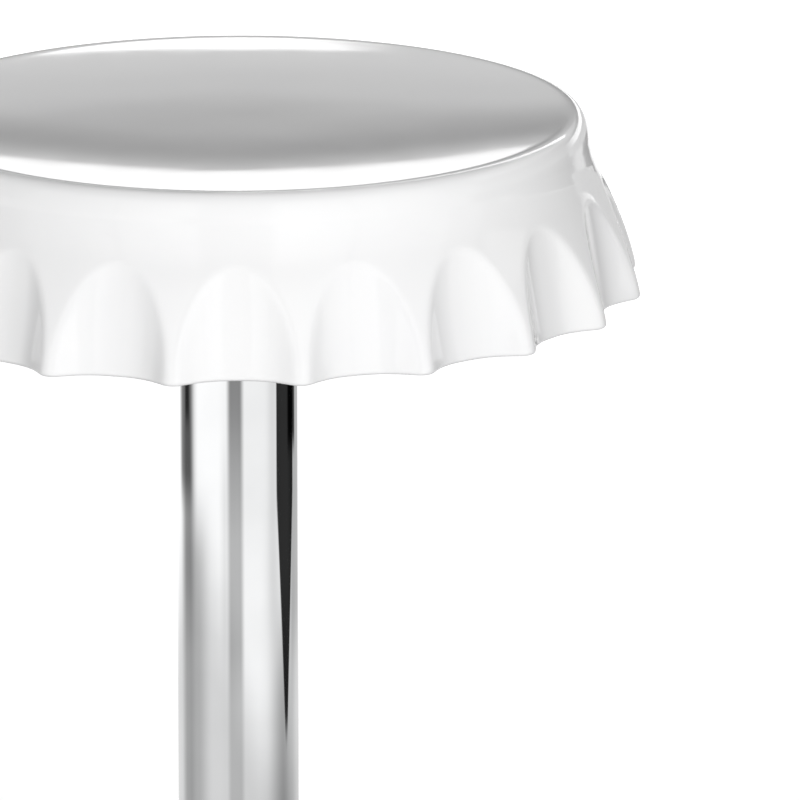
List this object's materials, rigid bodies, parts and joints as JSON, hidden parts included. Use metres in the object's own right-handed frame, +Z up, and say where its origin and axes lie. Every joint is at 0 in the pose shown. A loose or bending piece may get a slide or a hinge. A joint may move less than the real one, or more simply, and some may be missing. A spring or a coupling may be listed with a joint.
{
  "type": "counter stool",
  "caption": "Round stool with a fluted bottle-cap seat that swivels and rises on a gas lift, on a straight chromed column with a foot ring and a weighted trumpet base.",
  "frame": {"origin": "on the floor, at the middle of the base and under the column's axis", "axes": "+Z up along the column, -Y towards the front, where a scoop of the seat faces; the release lever points along +Y"},
  "size_m": [0.42, 0.42, 0.635],
  "materials": {
    "seat_white": "polished white ABS",
    "chrome": "bright chrome plate",
    "zinc_steel": "zinc plated",
    "black_steel": "black powder coat",
    "cast_iron": "raw cast iron with thin black paint",
    "black_plastic": "satin moulded plastic",
    "rubber": "matt moulded rubber",
    "plywood": "sanded birch plywood"
  },
  "bodies": {
    "base": {"floor_ring": "rubber", "base_weight": "cast_iron", "hub_bolt_1": "zinc_steel", "hub_bolt_2": "zinc_steel", "hub_bolt_3": "zinc_steel", "hub_bolt_4": "zinc_steel", "base_socket": "cast_iron", "base_cover": "chrome", "column_tube": "chrome", "column_collar": "black_plastic", "lift_sleeve": "zinc_steel", "guide_bushing": "black_plastic", "bearing_lower_race": "zinc_steel", "foot_ring": "chrome", "foot_ring_spoke_1": "chrome", "foot_ring_spoke_2": "chrome", "foot_ring_spoke_3": "chrome", "foot_ring_clamp": "chrome", "clamp_screw_1": "zinc_steel", "clamp_screw_2": "zinc_steel", "clamp_screw_3": "zinc_steel"},
    "bearing_cage": {"bearing_ball_cage": "zinc_steel"},
    "rod": {"piston_rod": "zinc_steel", "piston_head": "zinc_steel", "piston_seal": "rubber", "piston_nut": "zinc_steel", "rod_bumper": "rubber", "bearing_upper_race": "zinc_steel", "rod_washer": "zinc_steel", "rod_clip": "zinc_steel"},
    "seat": {"gas_cylinder": "chrome", "rod_guide": "black_plastic", "taper_hub": "black_steel", "mechanism_box": "black_steel", "lever_pin": "zinc_steel", "lever_pin_clip": "zinc_steel", "swivel_plate": "black_steel", "plate_bolt_1": "zinc_steel", "plate_bolt_2": "zinc_steel", "plate_bolt_3": "zinc_steel", "plate_bolt_4": "zinc_steel", "tee_nut_1": "zinc_steel", "tee_nut_2": "zinc_steel", "tee_nut_3": "zinc_steel", "tee_nut_4": "zinc_steel", "seat_board": "plywood", "board_screw_1": "zinc_steel", "board_screw_2": "zinc_steel", "board_screw_3": "zinc_steel", "board_screw_4": "zinc_steel", "board_screw_5": "zinc_steel", "board_screw_6": "zinc_steel", "seat_shell": "seat_white"},
    "lever": {"lever_arm": "zinc_steel", "lever_grip": "black_plastic"},
    "valve": {"valve_pin": "zinc_steel"}
  },
  "joints": [
    {"name": "seat_swivel", "type": "hinge", "parent": "base", "child": "rod", "pos_m": [0, 0, 0.053], "axis": [0, 0, 1], "continuous": true},
    {"name": "bearing_cage_turn", "type": "hinge", "parent": "base", "child": "bearing_cage", "pos_m": [0, 0, 0.053], "axis": [0, 0, 1], "continuous": true},
    {"name": "height_lift", "type": "slide", "parent": "rod", "child": "seat", "axis": [0, 0, 1], "range_m": [0, 0.2]},
    {"name": "lever_pull", "type": "hinge", "parent": "seat", "child": "lever", "pos_m": [0, 0.03, 0.6007], "axis": [1, 0, 0], "range_deg": [0, 5.7], "stiffness_Nm_per_rad": 6, "springref_deg": -2.86},
    {"name": "valve_press", "type": "slide", "parent": "seat", "child": "valve", "axis": [0, 0, -1], "range_m": [0, 0.003]}
  ],
  "couplings": [
    {"joint": "bearing_cage_turn", "follows": "seat_swivel", "ratio": 0.5},
    {"joint": "valve_press", "follows": "lever_pull", "m_per_rad": 0.03}
  ]
}
